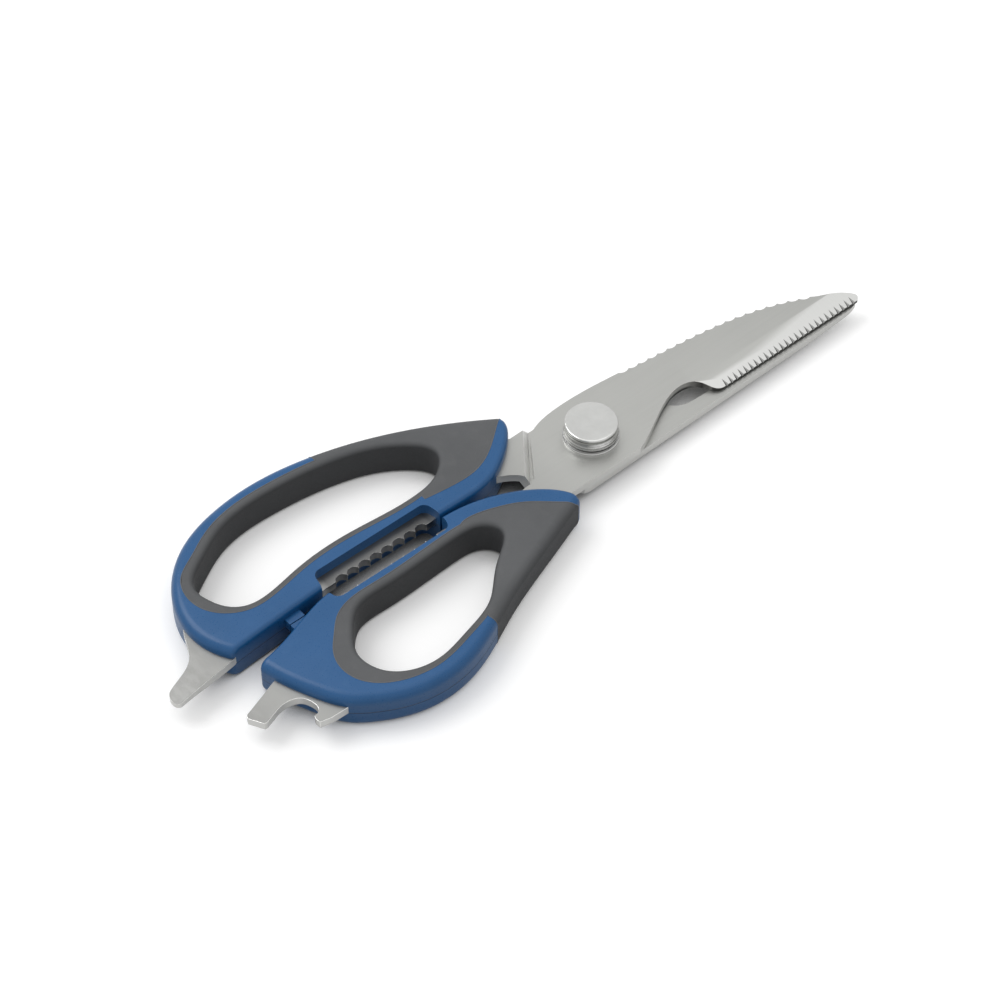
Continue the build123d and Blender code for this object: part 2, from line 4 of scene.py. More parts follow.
import bmesh
import bpy
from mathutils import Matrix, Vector


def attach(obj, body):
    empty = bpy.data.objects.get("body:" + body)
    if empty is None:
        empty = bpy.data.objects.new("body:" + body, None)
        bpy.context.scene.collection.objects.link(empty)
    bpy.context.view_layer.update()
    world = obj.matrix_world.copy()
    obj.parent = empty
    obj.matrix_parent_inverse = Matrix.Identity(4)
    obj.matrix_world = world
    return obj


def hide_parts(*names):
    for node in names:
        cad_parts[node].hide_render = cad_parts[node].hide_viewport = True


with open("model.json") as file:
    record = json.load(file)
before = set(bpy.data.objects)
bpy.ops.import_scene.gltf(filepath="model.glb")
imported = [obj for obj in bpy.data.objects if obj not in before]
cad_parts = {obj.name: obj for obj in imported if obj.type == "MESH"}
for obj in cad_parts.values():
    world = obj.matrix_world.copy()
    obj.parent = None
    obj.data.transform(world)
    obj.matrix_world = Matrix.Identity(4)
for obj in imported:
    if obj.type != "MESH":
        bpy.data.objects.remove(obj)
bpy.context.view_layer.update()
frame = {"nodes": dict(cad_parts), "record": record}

# Kitchen shears lying closed on a pale floor, seen from above at the photograph's angle

# Colours of the steel sheet and its ground edge, then painted light and shade: painted shade in its filed
# grooves, on its jaws, at its notch and towards its handles, and painted light on its sides, its bent neck
# and its burnished edges
steel_low = (0.375, 0.377, 0.362)
steel_high = (0.41, 0.412, 0.396)
steel_line = (0.44, 0.442, 0.426)
# Sheet sides: partly their brighter cut finish, partly painted light against the shaded floor they mirror
side_cut_and_painted_light = (0.62, 0.618, 0.6)
# Painted highlight on the neck's bent ramp
bend_painted_highlight = (0.9, 0.9, 0.89)
# Painted shade under the cutting edge and at the foot of the notch's arch
notch_shade = (0.07, 0.07, 0.068)
ground_low = (0.5, 0.502, 0.49)
ground_high = (0.57, 0.572, 0.56)
# Painted shade on the walls of the filed grooves
groove_shade = (0.045, 0.045, 0.045)
# Painted shade on the jaws in the handles' recess
jaw_shade_low = (0.1, 0.1, 0.098)
jaw_shade_high = (0.19, 0.19, 0.186)
# Painted shade towards the handles and on the tang ends
tang_painted_shade = (0.25, 0.25, 0.243)
tumbled_steel = (0.42, 0.42, 0.41)
# Burnished edges, brightened further as a painted highlight
burnished_edge_highlight = (0.88, 0.88, 0.87)

# Where the steel's finish changes along X in metres, each change soft between two places
blade_root = (0.046, 0.05)
notch_back = (0.037, 0.045)
notch_front = (0.058, 0.063)
cutting_start = (0.058, 0.062)
jaw_back = (-0.067, -0.065)
jaw_front = (-0.03, -0.028)
tang_shade_start = (-0.008, 0.012)
tang_end_start = (-0.112, -0.098)
driver_tip_start = (-0.1124, -0.1116)

# The same across the blades, and in height
spine_side = (-0.004, -0.002)
arch_foot_top = (0.0066, 0.0074)
blade_meeting = (0.0059, 0.0061)

# How far a face leans, as parts of its unit normal
edge_tilt = (0.17, 0.23)
cutting_tilt = (0.4, 0.6)
level_face = (0.5, 0.7)
raised_face = (0.2, 0.3)
forward_face = (0.3, 0.4)
backward_face = (-0.4, -0.3)
ramp_face = (0.8, 0.9)
upright_face = (0.1, 0.3)
wall_face = (0.25, 0.8)

# Shares of one finish over another
backward_wall_share = 0.35
tang_shade_share = 0.62
tang_end_share = 0.6
mottle_share = 0.55
driver_tip_share = 0.06
line_share = 0.5
side_share = 0.8

# Stretches of the noises, in turns a metre along X, Y and Z
across_stretch = (5200.0, 120.0, 120.0)
mottle_stretch = (500.0, 260.0, 260.0)
wipe_stretch = (9000.0, 700.0, 700.0)
ring_pitch = 5200.0
ring_rise = 3400.0
ring_drift = 60.0

# Roughness of each finish, from its smoothest to its roughest spot
face_rough = (0.34, 0.42)
edge_rough = (0.28, 0.34)
burnished_rough = 0.2
bend_rough = 0.6
cap_rough = (0.08, 0.16)

# Depths of the fine marks in metres
brushed_depth = 0.000008
wipe_depth = 0.000002
ring_depth = 0.00002
parting_depth = -0.0002

# Heights of the shells' parting line and of the painted dark reflection line under the cap's rim
split_height = 0.00605
cap_shadow_height = 0.0133
parting_width = (0.00008, 0.00022)
cap_shadow_width = (0.00018, 0.00026)

# Parts of a noise's values: its middle, where most of them lie, and the sparse upper ones
middle = (0.3, 0.7)
narrow_middle = (0.35, 0.65)
mottle_band = (0.42, 0.62)
wipe_band = (0.5, 0.8)
polish_band = (0.3, 0.8)
break_band = (0.4, 0.55)
ring_band = (0.32, 0.62)
mark_band = (0.5, 0.75)
wear_band = (0.4, 1.0)
speckle_band = (0.45, 0.8)
rubbed_band = (0.56, 0.74)

# Pivot axis from the record's one joint
pivot = Vector(frame["record"]["behaviour"]["joints"][0]["pos_m"])


# Shader helpers
def new_material(name):
    """Empty material with its Principled BSDF joined to the output."""
    material = bpy.data.materials.new(name)
    material.use_nodes = True
    nodes = material.node_tree.nodes
    nodes.clear()
    output = nodes.new("ShaderNodeOutputMaterial")
    shader = nodes.new("ShaderNodeBsdfPrincipled")
    material.node_tree.links.new(shader.outputs["BSDF"], output.inputs["Surface"])
    return material, shader


def add_node(tree, kind, settings=None, values=None, links=None):
    """Node with its settings, its input values and its links from other sockets."""
    node = tree.nodes.new(kind)
    for name, value in (settings or {}).items():
        setattr(node, name, value)
    for name, value in (values or {}).items():
        node.inputs[name].default_value = value
    for name, socket in (links or {}).items():
        tree.links.new(socket, node.inputs[name])
    return node


def feed(tree, socket, value):
    """Gives an input socket a number or a link from another socket."""
    if isinstance(value, (int, float)):
        socket.default_value = value
    else:
        tree.links.new(value, socket)


def parts_of(tree, vector):
    """Outputs X, Y and Z of a vector."""
    return add_node(tree, "ShaderNodeSeparateXYZ", links={"Vector": vector}).outputs


def object_point(tree, stretch):
    """Object coordinates multiplied by a stretch along each axis."""
    place = add_node(tree, "ShaderNodeTexCoord")
    mapping = add_node(
        tree, "ShaderNodeMapping", values={"Scale": stretch}, links={"Vector": place.outputs["Object"]}
    )
    return mapping.outputs["Vector"]


def noise(tree, point, scale, detail=4.0, roughness=0.55):
    """Soft noise value at a point."""
    values = {"Scale": scale, "Detail": detail, "Roughness": roughness}
    node = add_node(tree, "ShaderNodeTexNoise", values=values, links={"Vector": point})
    return node.outputs["Fac"]


def span(tree, value, band, to_low, to_high):
    """Value moved from a band to another span, held at its ends."""
    low, high = band
    node = add_node(
        tree,
        "ShaderNodeMapRange",
        values={"From Min": low, "From Max": high, "To Min": to_low, "To Max": to_high},
        links={"Value": value},
    )
    return node.outputs["Result"]


def rise(tree, value, band, top=1.0):
    """Mask from zero below a band to its top above it."""
    return span(tree, value, band, 0.0, top)


def fall(tree, value, band, top=1.0):
    """Mask from its top below a band to zero above it."""
    return span(tree, value, band, top, 0.0)


def arithmetic(tree, operation, first, second):
    """One sum of two values, each a socket or a number."""
    node = add_node(tree, "ShaderNodeMath", {"operation": operation})
    feed(tree, node.inputs[0], first)
    feed(tree, node.inputs[1], second)
    return node.outputs["Value"]


def product(tree, first, *others):
    """Values multiplied with each other, each a socket or a number."""
    for other in others:
        first = arithmetic(tree, "MULTIPLY", first, other)
    return first


def distance_from(tree, value, middle_value):
    """How far a value lies from another, whatever its side."""
    return arithmetic(tree, "ABSOLUTE", arithmetic(tree, "SUBTRACT", value, middle_value), 0.0)


def blend_values(tree, share, first, second):
    """Value between two, each a socket or a number."""
    node = add_node(tree, "ShaderNodeMix", links={"Factor": share})
    feed(tree, node.inputs["A"], first)
    feed(tree, node.inputs["B"], second)
    return node.outputs["Result"]


def blend_colours(tree, share, first, second):
    """Colour between two, each a socket or a colour."""
    node = add_node(tree, "ShaderNodeMix", {"data_type": "RGBA"}, links={"Factor": share})
    for index, colour in ((6, first), (7, second)):
        if isinstance(colour, tuple):
            node.inputs[index].default_value = (*colour, 1.0)
        else:
            tree.links.new(colour, node.inputs[index])
    return node.outputs[2]


def bump(tree, height, distance, under=None):
    """Surface normal tilted by a height in metres."""
    node = add_node(
        tree,
        "ShaderNodeBump",
        values={"Distance": distance, "Strength": 1.0},
        links={"Height": height},
    )
    if under is not None:
        tree.links.new(under, node.inputs["Normal"])
    return node.outputs["Normal"]


def effect_group(name, inputs, outputs):
    """Node group with named float inputs and outputs."""
    group = bpy.data.node_groups.new(name, "ShaderNodeTree")
    for label, value in inputs.items():
        socket = group.interface.new_socket(label, in_out="INPUT", socket_type="NodeSocketFloat")
        socket.default_value = value
    for label in outputs:
        group.interface.new_socket(label, in_out="OUTPUT", socket_type="NodeSocketFloat")
    start = group.nodes.new("NodeGroupInput")
    end = group.nodes.new("NodeGroupOutput")
    return group, start, end


def brushed_lines():
    """Fine straight grinding lines along X, in two widths, with soft broad patches."""
    fine_part, coarse_part = 0.6, 0.4
    patch_pitch = 45.0
    group, start, end = effect_group(
        "brushed_lines", {"Fine": 7000.0, "Coarse": 1600.0, "Run": 40.0}, ("Lines", "Patches")
    )
    place = add_node(group, "ShaderNodeTexCoord")
    layers = []
    for label, part in (("Fine", fine_part), ("Coarse", coarse_part)):
        stretch = add_node(
            group,
            "ShaderNodeCombineXYZ",
            links={"X": start.outputs["Run"], "Y": start.outputs[label], "Z": start.outputs[label]},
        )
        point = add_node(
            group,
            "ShaderNodeVectorMath",
            {"operation": "MULTIPLY"},
            links={0: place.outputs["Object"], 1: stretch.outputs["Vector"]},
        )
        layers.append(product(group, noise(group, point.outputs["Vector"], 1.0, detail=2.0), part))
    lines = arithmetic(group, "ADD", *layers)
    patches = noise(group, place.outputs["Object"], patch_pitch, detail=3.0)
    group.links.new(lines, end.inputs["Lines"])
    group.links.new(patches, end.inputs["Patches"])
    return group


def moulded_grain():
    """Spark-eroded grain of moulded plastic, with soft colour patches and sparse rubbed spots."""
    rubbed_pitch = 260.0
    group, start, end = effect_group(
        "moulded_grain", {"Grain": 2600.0, "Patch": 60.0}, ("Height", "Patches", "Rubbed")
    )
    place = add_node(group, "ShaderNodeTexCoord").outputs["Object"]
    grain = add_node(
        group,
        "ShaderNodeTexNoise",
        values={"Detail": 3.0, "Roughness": 0.6},
        links={"Vector": place, "Scale": start.outputs["Grain"]},
    )
    patches = add_node(
        group,
        "ShaderNodeTexNoise",
        values={"Detail": 4.0, "Roughness": 0.55},
        links={"Vector": place, "Scale": start.outputs["Patch"]},
    )
    rubbed = rise(group, noise(group, place, rubbed_pitch, detail=5.0), rubbed_band)
    group.links.new(grain.outputs["Fac"], end.inputs["Height"])
    group.links.new(patches.outputs["Fac"], end.inputs["Patches"])
    group.links.new(rubbed, end.inputs["Rubbed"])
    return group


brushed_group = brushed_lines()
grain_group = moulded_grain()


def place_group(tree, group):
    """Outputs of a shared effect placed in a material."""
    return add_node(tree, "ShaderNodeGroup", {"node_tree": group}).outputs


def blade_steel():
    """Satin sheet steel: brushed faces, bright ground edge, painted shade in the filed grooves, on the jaws,
    at the notch and towards the handles, sides lighter partly with painted light, and painted highlights on
    the neck's bend and the burnished rims.
    """
    material, shader = new_material("blade_steel")
    tree = material.node_tree
    brushed = place_group(tree, brushed_group)
    place = add_node(tree, "ShaderNodeTexCoord")
    spot = parts_of(tree, place.outputs["Object"])
    facing = parts_of(tree, place.outputs["Normal"])
    tilt = product(tree, facing["Y"], -1.0)

    # Masks of the ground edge, the filed grooves with their painted shade and the neck's ramp with its
    # painted highlight
    on_blade = rise(tree, spot["X"], blade_root)
    ground = product(tree, rise(tree, tilt, edge_tilt), rise(tree, facing["Z"], level_face), on_blade)
    raised = rise(tree, facing["Z"], raised_face)
    slanted = product(tree, rise(tree, facing["X"], forward_face), raised)
    # Walls of the filed grooves, for their painted shade
    groove_wall = product(tree, slanted, on_blade)
    far_wall = product(tree, fall(tree, facing["X"], backward_face, backward_wall_share), raised, on_blade)
    groove_walls = arithmetic(tree, "ADD", groove_wall, far_wall)
    off_blade = arithmetic(tree, "SUBTRACT", slanted, groove_wall)
    # The neck's ramp, for its painted highlight
    bend = product(tree, off_blade, fall(tree, facing["Z"], ramp_face))

    # Masks of the sheet's sides, with painted shade under the cutting edge and at the foot of the notch's
    # arch
    side = fall(tree, arithmetic(tree, "ABSOLUTE", facing["Z"], 0.0), upright_face)
    near_notch = product(tree, rise(tree, spot["X"], notch_back), fall(tree, spot["X"], notch_front))
    cutting_side = product(tree, side, rise(tree, tilt, cutting_tilt))
    cutting_wall = product(tree, cutting_side, rise(tree, spot["X"], cutting_start))
    below_spine = fall(tree, spot["Y"], spine_side)
    arch_foot = product(tree, below_spine, fall(tree, spot["Z"], arch_foot_top), side)
    dark_wall = arithmetic(tree, "MAXIMUM", cutting_wall, product(tree, near_notch, arch_foot))
    notch_wall = product(tree, dark_wall, rise(tree, spot["Z"], blade_meeting))

    # Masks of the jaws' painted shade, the tangs' painted shade towards the handles and the driver's ground
    # tip
    jaws = product(tree, rise(tree, spot["X"], jaw_back), fall(tree, spot["X"], jaw_front))
    darkened = fall(tree, spot["X"], tang_shade_start, tang_shade_share)
    tang_end = product(tree, fall(tree, spot["X"], tang_end_start, tang_end_share), darkened)
    tip_ground = fall(tree, spot["X"], driver_tip_start, driver_tip_share)

    # Colours from the plain sheet outwards
    across = noise(tree, object_point(tree, across_stretch), 1.0, detail=2.0)
    satin = blend_colours(tree, brushed["Patches"], steel_low, steel_high)
    lined = blend_colours(tree, rise(tree, brushed["Lines"], middle, line_share), satin, steel_line)
    # Painted shade towards the handles and on the tang ends
    tang_shaded = blend_colours(tree, arithmetic(tree, "ADD", darkened, tang_end), lined, tang_painted_shade)
    bright = blend_colours(tree, across, ground_low, ground_high)
    mottled = noise(tree, object_point(tree, mottle_stretch), 1.0, detail=5.0)
    mottling = product(tree, rise(tree, mottled, mottle_band, mottle_share), tang_end)
    tumbled = blend_colours(tree, mottling, tang_shaded, tumbled_steel)
    tipped = blend_colours(tree, tip_ground, tumbled, bright)
    # Sides lighter: partly their cut finish, partly painted light
    sided = blend_colours(tree, product(tree, side, side_share), tipped, side_cut_and_painted_light)
    # Painted highlight on the neck's bend
    bend_highlit = blend_colours(tree, bend, sided, bend_painted_highlight)
    # Painted shade on the notch's wall and under the cutting edge
    notched = blend_colours(tree, notch_wall, bend_highlit, notch_shade)
    faces = blend_colours(tree, ground, notched, bright)
    # Painted shade on the jaws
    jaw_shade = blend_colours(tree, rise(tree, brushed["Patches"], narrow_middle), jaw_shade_low, jaw_shade_high)
    jaw_shaded = blend_colours(tree, jaws, faces, jaw_shade)
    # Painted shade in the filed grooves
    groove_shaded = blend_colours(tree, groove_walls, jaw_shaded, groove_shade)
    # Painted highlight on the burnished rims
    burnished_rim_highlight = add_node(tree, "ShaderNodeAttribute", {"attribute_name": "burnished_highlight"}).outputs["Fac"]
    colour = blend_colours(tree, burnished_rim_highlight, groove_shaded, burnished_edge_highlight)

    rough_face = span(tree, brushed["Lines"], middle, *face_rough)
    rough_edge = span(tree, across, middle, *edge_rough)
    rough = blend_values(tree, ground, rough_face, rough_edge)
    rough = blend_values(tree, burnished_rim_highlight, rough, burnished_rough)
    rough = blend_values(tree, bend, rough, bend_rough)
    height = blend_values(tree, ground, brushed["Lines"], across)
    tree.links.new(colour, shader.inputs["Base Color"])
    tree.links.new(rough, shader.inputs["Roughness"])
    tree.links.new(bump(tree, height, brushed_depth), shader.inputs["Normal"])
    shader.inputs["Metallic"].default_value = 1.0
    return material


def polished_cap(name):
    """Polished plate with faint wiping marks and soft clouds, and a broken painted dark reflection line
    under its rim.
    """
    plate_low, plate_high = (0.55, 0.553, 0.54), (0.6, 0.603, 0.59)
    wiped_plate = (0.72, 0.72, 0.71)
    # Painted dark reflection under the rim
    rim_shade = (0.02, 0.02, 0.02)
    cloud_pitch, break_pitch = 160.0, 210.0
    wipe_share, least_break = 0.25, 0.35
    material, shader = new_material(name)
    tree = material.node_tree
    place = add_node(tree, "ShaderNodeTexCoord").outputs["Object"]
    clouds = noise(tree, place, cloud_pitch, detail=3.0)
    marks = noise(tree, object_point(tree, wipe_stretch), 1.0, detail=3.0)
    plate = blend_colours(tree, rise(tree, clouds, narrow_middle), plate_low, plate_high)
    wiped = blend_colours(tree, rise(tree, marks, wipe_band, wipe_share), plate, wiped_plate)
    off = distance_from(tree, parts_of(tree, place)["Z"], cap_shadow_height)
    broken = span(tree, noise(tree, place, break_pitch, detail=1.0), break_band, least_break, 1.0)
    line = product(tree, fall(tree, off, cap_shadow_width), broken)
    lined = blend_colours(tree, line, wiped, rim_shade)
    tree.links.new(lined, shader.inputs["Base Color"])
    tree.links.new(span(tree, marks, polish_band, *cap_rough), shader.inputs["Roughness"])
    tree.links.new(bump(tree, marks, wipe_depth), shader.inputs["Normal"])
    shader.inputs["Metallic"].default_value = 1.0
    return material


def turned_steel(name, dark, light, rough_range):
    """Steel turned on a lathe, its fine rings round the pivot's axis."""
    mark_pitch = 420.0
    mark_share, mark_wear = 0.35, 0.4
    material, shader = new_material(name)
    tree = material.node_tree
    place = add_node(tree, "ShaderNodeTexCoord").outputs["Object"]
    moved = add_node(
        tree,
        "ShaderNodeMapping",
        values={"Location": (-pivot.x, -pivot.y, 0.0)},
        links={"Vector": place},
    )
    parts = parts_of(tree, moved.outputs["Vector"])
    flat = add_node(tree, "ShaderNodeCombineXYZ", links={"X": parts["X"], "Y": parts["Y"]})
    radius = add_node(
        tree, "ShaderNodeVectorMath", {"operation": "LENGTH"}, links={0: flat.outputs["Vector"]}
    )
    turned = add_node(
        tree,
        "ShaderNodeCombineXYZ",
        links={
            "X": product(tree, radius.outputs["Value"], ring_pitch),
            "Y": product(tree, parts["Z"], ring_rise),
            "Z": product(tree, parts["X"], ring_drift),
        },
    )
    rings = noise(tree, turned.outputs["Vector"], 1.0, detail=2.0)
    marks = noise(tree, place, mark_pitch, detail=6.0)
    colour = blend_colours(tree, rise(tree, rings, ring_band), dark, light)
    darkened = blend_colours(tree, rise(tree, marks, mark_band, mark_share), colour, dark)
    worn = arithmetic(tree, "ADD", rings, product(tree, marks, mark_wear))
    tree.links.new(darkened, shader.inputs["Base Color"])
    tree.links.new(span(tree, worn, wear_band, *rough_range), shader.inputs["Roughness"])
    tree.links.new(bump(tree, rings, ring_depth), shader.inputs["Normal"])
    shader.inputs["Metallic"].default_value = 1.0
    return material


def moulded(name, deep, pale, rubbed_colour, rough_range, grain_depth, specular, parting=None, wall_painted_shade=None):
    """Moulded plastic or rubber with grain, soft patches and rubbed spots.

    parting is the height of its dark parting line, and wall_painted_shade the colour of painted shade on its
    upright walls.
    """
    speckle_share, rubbed_share, parting_share = 0.14, 0.16, 0.6
    parting_shade = (0.004, 0.016, 0.045)
    material, shader = new_material(name)
    tree = material.node_tree
    grain = place_group(tree, grain_group)
    patched = blend_colours(tree, rise(tree, grain["Patches"], middle), deep, pale)
    speckles = rise(tree, grain["Height"], speckle_band, speckle_share)
    speckled = blend_colours(tree, speckles, patched, rubbed_colour)
    colour = blend_colours(tree, product(tree, grain["Rubbed"], rubbed_share), speckled, rubbed_colour)
    rough = span(tree, grain["Height"], middle, *rough_range)
    normal = bump(tree, grain["Height"], grain_depth)
    place = add_node(tree, "ShaderNodeTexCoord").outputs
    # Upright walls darkened with painted shade
    if wall_painted_shade is not None:
        upward = parts_of(tree, place["Normal"])["Z"]
        colour = blend_colours(tree, fall(tree, upward, wall_face), colour, wall_painted_shade)
    if parting is not None:
        off = distance_from(tree, parts_of(tree, place["Object"])["Z"], parting)
        line = fall(tree, off, parting_width)
        colour = blend_colours(tree, product(tree, line, parting_share), colour, parting_shade)
        normal = bump(tree, line, parting_depth, under=normal)
    tree.links.new(colour, shader.inputs["Base Color"])
    tree.links.new(rough, shader.inputs["Roughness"])
    tree.links.new(normal, shader.inputs["Normal"])
    shader.inputs["Specular IOR Level"].default_value = specular
    return material


# Mesh helpers, with the widths in metres and the angles in degrees
merge_distance = 0.0000004
corner_angle = 60
rim_width = 0.00016
rim_steps = 2
blade_angle = 20
moulded_angle = 32
turned_angle = 30
tang_ends = -0.0885
jaw_reach = (-0.066, -0.029)
jaw_breadth = (-0.003, 0.004)


def bare_steel(spot):
    """Where the sheet steel shows outside the handles, away from the serrated edges."""
    jaw = jaw_reach[0] < spot.x < jaw_reach[1] and jaw_breadth[0] < spot.y < jaw_breadth[1]
    return spot.x < tang_ends or jaw


def sharp_edges(shape, chosen):
    """Square outer corners of a solid whose midpoint passes a test."""
    found = []
    for edge in shape.edges:
        if len(edge.link_faces) != 2 or edge.calc_face_angle_signed(0.0) < radians(corner_angle):
            continue
        if chosen((edge.verts[0].co + edge.verts[1].co) / 2):
            found.append(edge)
    return found


def round_edges_for_highlight(shape, chosen):
    """Small round on the chosen corners, its faces marked for the burnished edges' painted highlight."""
    rubbed = shape.faces.layers.float.new("burnished_highlight")
    result = bmesh.ops.bevel(
        shape,
        geom=sharp_edges(shape, chosen),
        offset=rim_width,
        offset_type="OFFSET",
        segments=rim_steps,
        profile=0.5,
        affect="EDGES",
        clamp_overlap=True,
    )
    for face in result["faces"]:
        face[rubbed] = 1.0


def smooth_piece(node_name, body, slot, material, angle, rubbed=None):
    """Smooth-shaded copy of a solid's mesh, standing for it, its corners rounded and marked for a painted
    highlight where a test says.
    """
    source = frame["nodes"][node_name]
    mesh = source.data.copy()
    mesh.transform(source.matrix_world)
    shape = bmesh.new()
    shape.from_mesh(mesh)
    bmesh.ops.remove_doubles(shape, verts=shape.verts, dist=merge_distance)
    if rubbed is not None:
        round_edges_for_highlight(shape, rubbed)
    for face in shape.faces:
        face.smooth = True
    for edge in shape.edges:
        if len(edge.link_faces) == 2:
            edge.smooth = edge.calc_face_angle(0.0) < radians(angle)
    shape.to_mesh(mesh)
    shape.free()
    mesh.materials.clear()
    mesh.materials.append(material)
    piece = bpy.data.objects.new(node_name + "_finished", mesh)
    bpy.context.scene.collection.objects.link(piece)
    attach(piece, body)
    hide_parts(node_name)
    return piece


# Finishes
steel_finish = blade_steel()
stud_finish = turned_steel("stud_steel", (0.42, 0.42, 0.42), (0.6, 0.6, 0.6), (0.25, 0.45))
collar_finish = turned_steel("collar_steel", (0.2, 0.2, 0.198), (0.74, 0.74, 0.73), (0.16, 0.32))
cap_finish = polished_cap("cap_chrome")
blue_finish = moulded(
    "blue_shell",
    deep=(0.006, 0.076, 0.212),
    pale=(0.012, 0.088, 0.238),
    rubbed_colour=(0.04, 0.13, 0.29),
    rough_range=(0.26, 0.37),
    grain_depth=0.000012,
    specular=0.4,
    parting=split_height,
)
grey_finish = moulded(
    "grey_grip",
    deep=(0.082, 0.085, 0.089),
    pale=(0.1, 0.103, 0.107),
    rubbed_colour=(0.15, 0.151, 0.154),
    rough_range=(0.55, 0.72),
    grain_depth=0.00005,
    specular=0.3,
    wall_painted_shade=(0.05, 0.052, 0.055),
)
seam_finish = moulded(
    "seam_rubber",
    deep=(0.12, 0.12, 0.122),
    pale=(0.15, 0.15, 0.152),
    rubbed_colour=(0.2, 0.2, 0.2),
    rough_range=(0.5, 0.7),
    grain_depth=0.00002,
    specular=0.3,
)

# Each piece's body, material slot, finish and smoothing angle, and where its corners are rounded and given a
# burnished painted highlight
pieces = {
    "upper_blade": ("upper_half", "blade_steel", steel_finish, blade_angle, bare_steel),
    "lower_blade": ("lower_half", "blade_steel", steel_finish, blade_angle, bare_steel),
    "finger_top_shell": ("lower_half", "shell_plastic", blue_finish, moulded_angle),
    "finger_bottom_shell": ("lower_half", "shell_plastic", blue_finish, moulded_angle),
    "finger_grip": ("lower_half", "grip_rubber", grey_finish, moulded_angle),
    "thumb_top_shell": ("upper_half", "shell_plastic", blue_finish, moulded_angle),
    "thumb_bottom_shell": ("upper_half", "shell_plastic", blue_finish, moulded_angle),
    "thumb_grip": ("upper_half", "grip_rubber", grey_finish, moulded_angle),
    "pivot_stud": ("upper_half", "pivot_steel", stud_finish, turned_angle),
    "base_washer": ("upper_half", "pivot_steel", collar_finish, turned_angle),
    "disc_spring": ("upper_half", "pivot_steel", stud_finish, turned_angle),
    "knob_collar": ("upper_half", "knob_steel", collar_finish, turned_angle),
    "knob_cap": ("upper_half", "knob_chrome", cap_finish, turned_angle),
}
finished = {name: smooth_piece(name, *settings) for name, settings in pieces.items()}

# Bead of a grip's seam
bead_sides = 8
bead_inputs = {"Bead radius": 0.00013, "Lowest height": 0.0008, "Least angle": radians(55)}


def seam_bead_tree():
    """Thin round bead along the square edges of a grip, above a lowest height."""
    tree = bpy.data.node_groups.new("seam_bead", "GeometryNodeTree")
    tree.interface.new_socket("Geometry", in_out="INPUT", socket_type="NodeSocketGeometry")
    for label, value in bead_inputs.items():
        tree.interface.new_socket(label, in_out="INPUT", socket_type="NodeSocketFloat").default_value = value
    tree.interface.new_socket("Finish", in_out="INPUT", socket_type="NodeSocketMaterial")
    tree.interface.new_socket("Geometry", in_out="OUTPUT", socket_type="NodeSocketGeometry")
    start = tree.nodes.new("NodeGroupInput")
    end = tree.nodes.new("NodeGroupOutput")
    angle = add_node(tree, "GeometryNodeInputMeshEdgeAngle").outputs["Signed Angle"]
    spot = parts_of(tree, add_node(tree, "GeometryNodeInputPosition").outputs["Position"])
    square = arithmetic(tree, "GREATER_THAN", angle, start.outputs["Least angle"])
    above = arithmetic(tree, "GREATER_THAN", spot["Z"], start.outputs["Lowest height"])
    chosen = product(tree, square, above)
    path = add_node(
        tree, "GeometryNodeMeshToCurve", links={"Mesh": start.outputs["Geometry"], "Selection": chosen}
    )
    ring = add_node(
        tree,
        "GeometryNodeCurvePrimitiveCircle",
        {"mode": "RADIUS"},
        {"Resolution": bead_sides},
        {"Radius": start.outputs["Bead radius"]},
    )
    tube = add_node(
        tree,
        "GeometryNodeCurveToMesh",
        values={"Fill Caps": True},
        links={"Curve": path.outputs["Curve"], "Profile Curve": ring.outputs["Curve"]},
    )
    real = add_node(tree, "GeometryNodeRealizeInstances", links={"Geometry": tube.outputs["Mesh"]})
    dressed = add_node(
        tree,
        "GeometryNodeSetMaterial",
        links={"Geometry": real.outputs["Geometry"], "Material": start.outputs["Finish"]},
    )
    tree.links.new(dressed.outputs["Geometry"], end.inputs["Geometry"])
    return tree


def seam_bead(grip_name, body, tree):
    """Bead of a grip's seam as a plain mesh that rides with the grip."""
    holder = bpy.data.objects.new(grip_name + "_holder", finished[grip_name].data.copy())
    bpy.context.scene.collection.objects.link(holder)
    maker = holder.modifiers.new("seam", "NODES")
    maker.node_group = tree
    for item in tree.interface.items_tree:
        if item.in_out == "INPUT" and item.name == "Finish":
            maker[item.identifier] = seam_finish
    bpy.context.view_layer.update()
    graph = bpy.context.evaluated_depsgraph_get()
    mesh = bpy.data.meshes.new_from_object(holder.evaluated_get(graph))
    holder.modifiers.remove(maker)
    bpy.data.objects.remove(holder)
    for face in mesh.polygons:
        face.use_smooth = True
    bead = bpy.data.objects.new(grip_name + "_seam", mesh)
    bpy.context.scene.collection.objects.link(bead)
    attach(bead, body)
    return bead


bead_tree = seam_bead_tree()
seam_bead("finger_grip", "lower_half", bead_tree)
seam_bead("thumb_grip", "upper_half", bead_tree)

# Pale floor, lifted a little for the camera, dim as a bouncer of light, with painted shade in narrow gaps
white = (1.0, 1.0, 1.0, 1.0)
floor_half = 6.0
floor_low, floor_high = (0.93, 0.93, 0.93), (0.96, 0.96, 0.96)
floor_bounce = (0.42, 0.42, 0.42)
floor_rough = 0.9
floor_specular = 0.1
paper_pitch = 900.0
gap_shade = (0.07, 0.07, 0.07)
gap_reach = 0.03
gap_samples = 16
gap_openness = (0.08, 0.34)
floor_lift = 0.14
floor_mesh = bpy.data.meshes.new("floor")
floor_corners = [
    (-floor_half, -floor_half, 0),
    (floor_half, -floor_half, 0),
    (floor_half, floor_half, 0),
    (-floor_half, floor_half, 0),
]
floor_mesh.from_pydata(floor_corners, [], [(0, 1, 2, 3)])
floor = bpy.data.objects.new("floor", floor_mesh)
bpy.context.scene.collection.objects.link(floor)
floor_finish, floor_shader = new_material("floor_paper")
floor_tree = floor_finish.node_tree
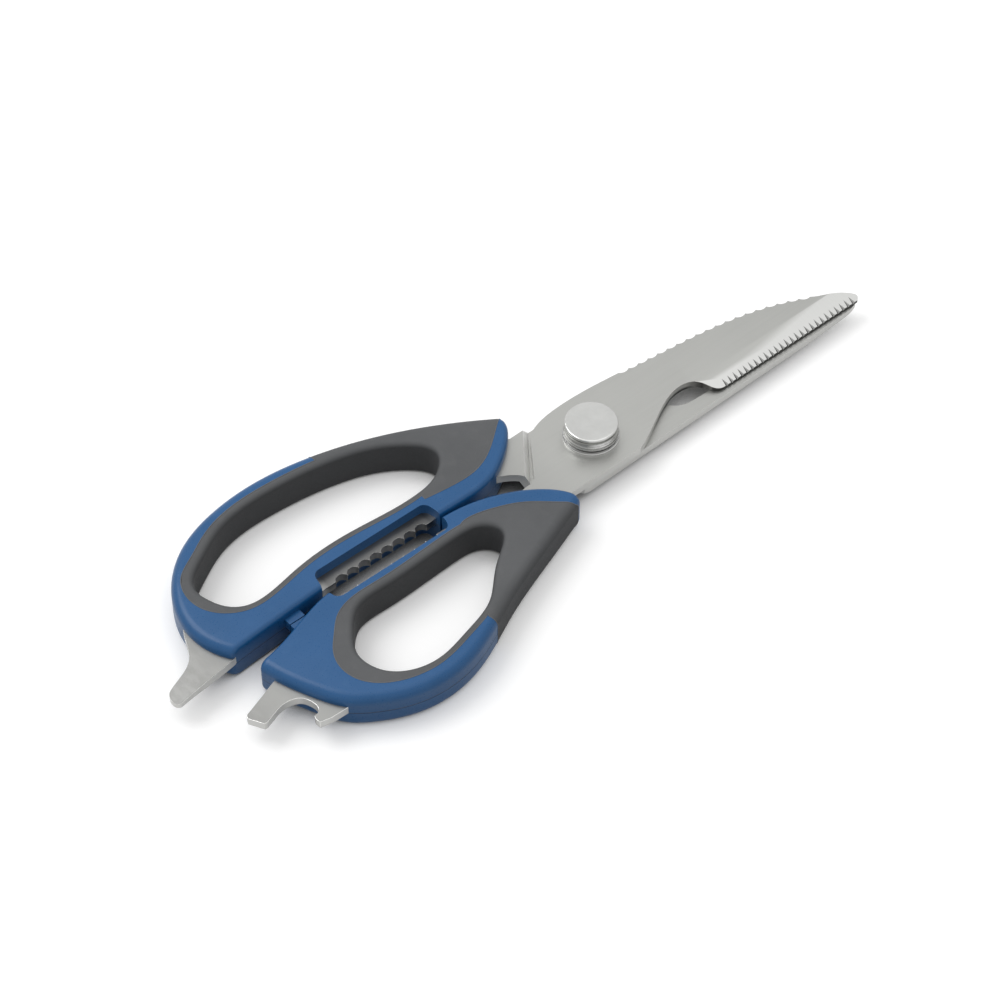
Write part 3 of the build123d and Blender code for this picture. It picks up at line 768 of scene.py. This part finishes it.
floor_place = add_node(floor_tree, "ShaderNodeTexCoord").outputs["Object"]
floor_patches = noise(floor_tree, floor_place, paper_pitch, detail=3.0)
floor_colour = blend_colours(floor_tree, floor_patches, floor_low, floor_high)
floor_path = add_node(floor_tree, "ShaderNodeLightPath").outputs
floor_seen = blend_colours(floor_tree, floor_path["Is Diffuse Ray"], floor_colour, floor_bounce)
openness = add_node(
    floor_tree, "ShaderNodeAmbientOcclusion", {"samples": gap_samples}, {"Distance": gap_reach}
)
# Painted shade where the floor is closed in, for the camera only
closed_in = fall(floor_tree, openness.outputs["AO"], gap_openness)
seen_gap = product(floor_tree, closed_in, floor_path["Is Camera Ray"])
seen_open = arithmetic(floor_tree, "SUBTRACT", floor_path["Is Camera Ray"], seen_gap)
floor_shaded = blend_colours(floor_tree, seen_gap, floor_seen, gap_shade)
floor_tree.links.new(floor_shaded, floor_shader.inputs["Base Color"])
floor_tree.links.new(product(floor_tree, seen_open, floor_lift), floor_shader.inputs["Emission Strength"])
floor_shader.inputs["Emission Color"].default_value = white
floor_shader.inputs["Roughness"].default_value = floor_rough
floor_shader.inputs["Specular IOR Level"].default_value = floor_specular
floor_mesh.materials.append(floor_finish)

# White surround, dimmer as light than as background, and darker low down round the room
lamp_height = (0.05, 0.4)
lamp_light = (0.1, 0.72)
mirror_height = (0.0, 0.14)
mirror_light = (0.5, 1.0)
world = bpy.data.worlds.new("studio")
bpy.context.scene.world = world
world.use_nodes = True
world_tree = world.node_tree
background = world_tree.nodes["Background"]
path = add_node(world_tree, "ShaderNodeLightPath").outputs
toward = parts_of(world_tree, add_node(world_tree, "ShaderNodeTexCoord").outputs["Generated"])
as_lamp = span(world_tree, toward["Z"], lamp_height, *lamp_light)
as_mirror = span(world_tree, toward["Z"], mirror_height, *mirror_light)
as_light = blend_values(world_tree, path["Is Glossy Ray"], as_lamp, as_mirror)
seen = arithmetic(world_tree, "MAXIMUM", path["Is Camera Ray"], path["Is Transmission Ray"])
world_tree.links.new(blend_values(world_tree, seen, as_light, 1.0), background.inputs["Strength"])
background.inputs["Color"].default_value = white


def soft_lamp(name, place, target, size, power):
    """Square soft lamp aimed at a point."""
    data = bpy.data.lights.new(name, "AREA")
    data.shape = "SQUARE"
    data.size = size
    data.energy = power
    lamp = bpy.data.objects.new(name, data)
    bpy.context.scene.collection.objects.link(lamp)
    lamp.location = place
    lamp.rotation_euler = (Vector(target) - Vector(place)).to_track_quat("-Z", "Y").to_euler()
    return lamp


centre = (0.0, 0.0, 0.006)
soft_lamp("key_lamp", (-0.42, 0.75, 1.1), centre, size=0.9, power=7.0)
soft_lamp("top_lamp", (0.15, 0.1, 1.5), centre, size=1.5, power=4.0)

# Camera at the photograph's angle
camera_place = (-0.3768, -0.4405, 0.6759)
camera_aim = (-0.00575, 0.00175, 0.0)
camera_data = bpy.data.cameras.new("camera")
camera_data.lens = 115.2
camera_data.sensor_width = 36.0
camera_data.sensor_fit = "HORIZONTAL"
camera_data.clip_start = 0.01
camera = bpy.data.objects.new("camera", camera_data)
bpy.context.scene.collection.objects.link(camera)
camera.location = camera_place
camera.rotation_euler = (Vector(camera_aim) - camera.location).to_track_quat("-Z", "Y").to_euler()
bpy.context.scene.camera = camera
bpy.context.scene.view_settings.view_transform = "Standard"
